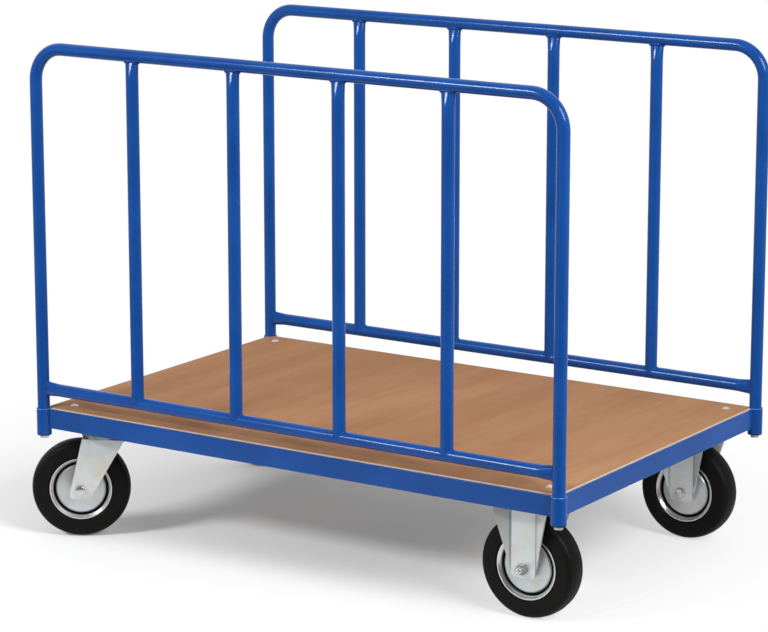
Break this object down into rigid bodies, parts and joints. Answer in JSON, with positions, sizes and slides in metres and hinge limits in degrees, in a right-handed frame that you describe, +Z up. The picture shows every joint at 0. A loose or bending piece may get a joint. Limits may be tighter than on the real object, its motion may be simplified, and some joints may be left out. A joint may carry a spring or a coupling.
{
  "type": "long material cart",
  "caption": "Platform cart for long stock: wooden deck in a blue steel rim, barred tube bows along both long sides, swivel casters at one end and fixed casters at the other.",
  "frame": {"origin": "on the floor under the middle of the deck", "axes": "+X along the cart from the swivel casters to the fixed casters, +Y across, +Z up"},
  "size_m": [1.2509, 0.8292, 1.01],
  "materials": {
    "blue_powder_coat": "satin",
    "beech_laminate": "satin",
    "zinc_plate": "satin",
    "bearing_steel": "polished",
    "grey_nylon": "matte",
    "black_rubber": "matte"
  },
  "bodies": {
    "chassis": {"caster_bolts": "zinc_plate", "corner_plates": "blue_powder_coat", "corner_sleeves": "blue_powder_coat", "cross_channel": "blue_powder_coat", "deck_board": "beech_laminate", "deck_bolts": "zinc_plate", "far_bow_bars": "blue_powder_coat", "far_bow_hoop": "blue_powder_coat", "far_bow_lower_rail": "blue_powder_coat", "far_fixed_fork": "zinc_plate", "far_side_rail": "blue_powder_coat", "far_swivel_balls": "bearing_steel", "far_swivel_bearing_washer": "bearing_steel", "far_swivel_dust_ring": "zinc_plate", "far_swivel_king_pin": "bearing_steel", "far_swivel_plate": "zinc_plate", "fixed_axle_bolts": "zinc_plate", "fixed_axle_nuts": "zinc_plate", "fixed_axle_sleeves": "bearing_steel", "fixed_end_rail": "blue_powder_coat", "leg_bolts": "zinc_plate", "leg_plugs": "zinc_plate", "leg_washers": "zinc_plate", "near_bow_bars": "blue_powder_coat", "near_bow_hoop": "blue_powder_coat", "near_bow_lower_rail": "blue_powder_coat", "near_fixed_fork": "zinc_plate", "near_side_rail": "blue_powder_coat", "near_swivel_balls": "bearing_steel", "near_swivel_bearing_washer": "bearing_steel", "near_swivel_dust_ring": "zinc_plate", "near_swivel_king_pin": "bearing_steel", "near_swivel_plate": "zinc_plate", "swivel_end_rail": "blue_powder_coat"},
    "near_swivel_wheel": {"near_swivel_tyre": "black_rubber", "near_swivel_rim_halves": "zinc_plate", "near_swivel_hub_tube": "zinc_plate", "near_swivel_roller_sleeve": "grey_nylon"},
    "near_fixed_wheel": {"near_fixed_tyre": "black_rubber", "near_fixed_rim_halves": "zinc_plate", "near_fixed_hub_tube": "zinc_plate", "near_fixed_roller_sleeve": "grey_nylon"},
    "near_swivel": {"near_swivel_fork": "zinc_plate", "near_swivel_axle_bolt": "zinc_plate", "near_swivel_axle_nut": "zinc_plate", "near_swivel_axle_sleeve": "bearing_steel"},
    "far_swivel_wheel": {"far_swivel_tyre": "black_rubber", "far_swivel_rim_halves": "zinc_plate", "far_swivel_hub_tube": "zinc_plate", "far_swivel_roller_sleeve": "grey_nylon"},
    "far_fixed_wheel": {"far_fixed_tyre": "black_rubber", "far_fixed_rim_halves": "zinc_plate", "far_fixed_hub_tube": "zinc_plate", "far_fixed_roller_sleeve": "grey_nylon"},
    "far_swivel": {"far_swivel_fork": "zinc_plate", "far_swivel_axle_bolt": "zinc_plate", "far_swivel_axle_nut": "zinc_plate", "far_swivel_axle_sleeve": "bearing_steel"}
  },
  "joints": [
    {"name": "near_swivel_turn", "type": "hinge", "parent": "chassis", "child": "near_swivel", "pos_m": [-0.505, -0.321, 0.21], "axis": [0, 0, 1], "continuous": true},
    {"name": "near_swivel_wheel_spin", "type": "hinge", "parent": "near_swivel", "child": "near_swivel_wheel", "pos_m": [-0.54479, -0.34784, 0.1], "axis": [-0.5592, 0.829, 0], "continuous": true},
    {"name": "near_fixed_wheel_spin", "type": "hinge", "parent": "chassis", "child": "near_fixed_wheel", "pos_m": [0.497, -0.312, 0.1], "axis": [0, 1, 0], "continuous": true},
    {"name": "far_swivel_turn", "type": "hinge", "parent": "chassis", "child": "far_swivel", "pos_m": [-0.505, 0.321, 0.21], "axis": [0, 0, 1], "continuous": true},
    {"name": "far_swivel_wheel_spin", "type": "hinge", "parent": "far_swivel", "child": "far_swivel_wheel", "pos_m": [-0.54479, 0.29416, 0.1], "axis": [-0.5592, 0.829, 0], "continuous": true},
    {"name": "far_fixed_wheel_spin", "type": "hinge", "parent": "chassis", "child": "far_fixed_wheel", "pos_m": [0.497, 0.312, 0.1], "axis": [0, 1, 0], "continuous": true}
  ]
}
